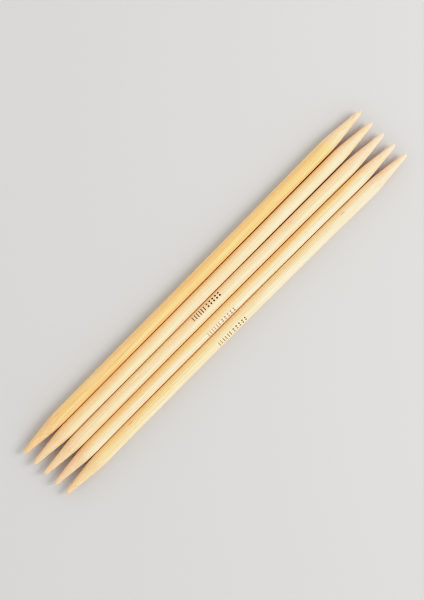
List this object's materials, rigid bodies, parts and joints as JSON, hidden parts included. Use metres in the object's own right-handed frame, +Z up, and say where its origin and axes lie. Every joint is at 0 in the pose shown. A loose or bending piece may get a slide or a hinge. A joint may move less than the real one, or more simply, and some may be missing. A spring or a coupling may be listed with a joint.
{
  "type": "double pointed needles",
  "caption": "Set of loose bamboo double pointed knitting needles, each a round rod with the same smooth taper and rounded point at both ends.",
  "frame": {"origin": "centre of the row's bounding box, on the surface that the needles rest on", "axes": "+X along the middle needle, towards the end where the row fans open; +Y across the row, towards needle_1; +Z up"},
  "size_m": [0.201, 0.0314, 0.006],
  "materials": {
    "bamboo": "satin"
  },
  "bodies": {
    "needle_1": {"needle_1": "bamboo"},
    "needle_2": {"needle_2": "bamboo"},
    "needle_3": {"needle_3": "bamboo"},
    "needle_4": {"needle_4": "bamboo"},
    "needle_5": {"needle_5": "bamboo"}
  },
  "joints": [
    {"name": "needle_1_draw", "type": "slide", "parent": "needle_3", "child": "needle_1", "axis": [1, 0.0053, 0], "range_m": [0, 0.205]},
    {"name": "needle_2_draw", "type": "slide", "parent": "needle_3", "child": "needle_2", "axis": [1, 0.0028, 0], "range_m": [0, 0.205]},
    {"name": "needle_4_draw", "type": "slide", "parent": "needle_3", "child": "needle_4", "axis": [1, -0.0014, 0], "range_m": [0, 0.205]},
    {"name": "needle_5_draw", "type": "slide", "parent": "needle_3", "child": "needle_5", "axis": [1, -0.0022, 0], "range_m": [0, 0.205]}
  ]
}
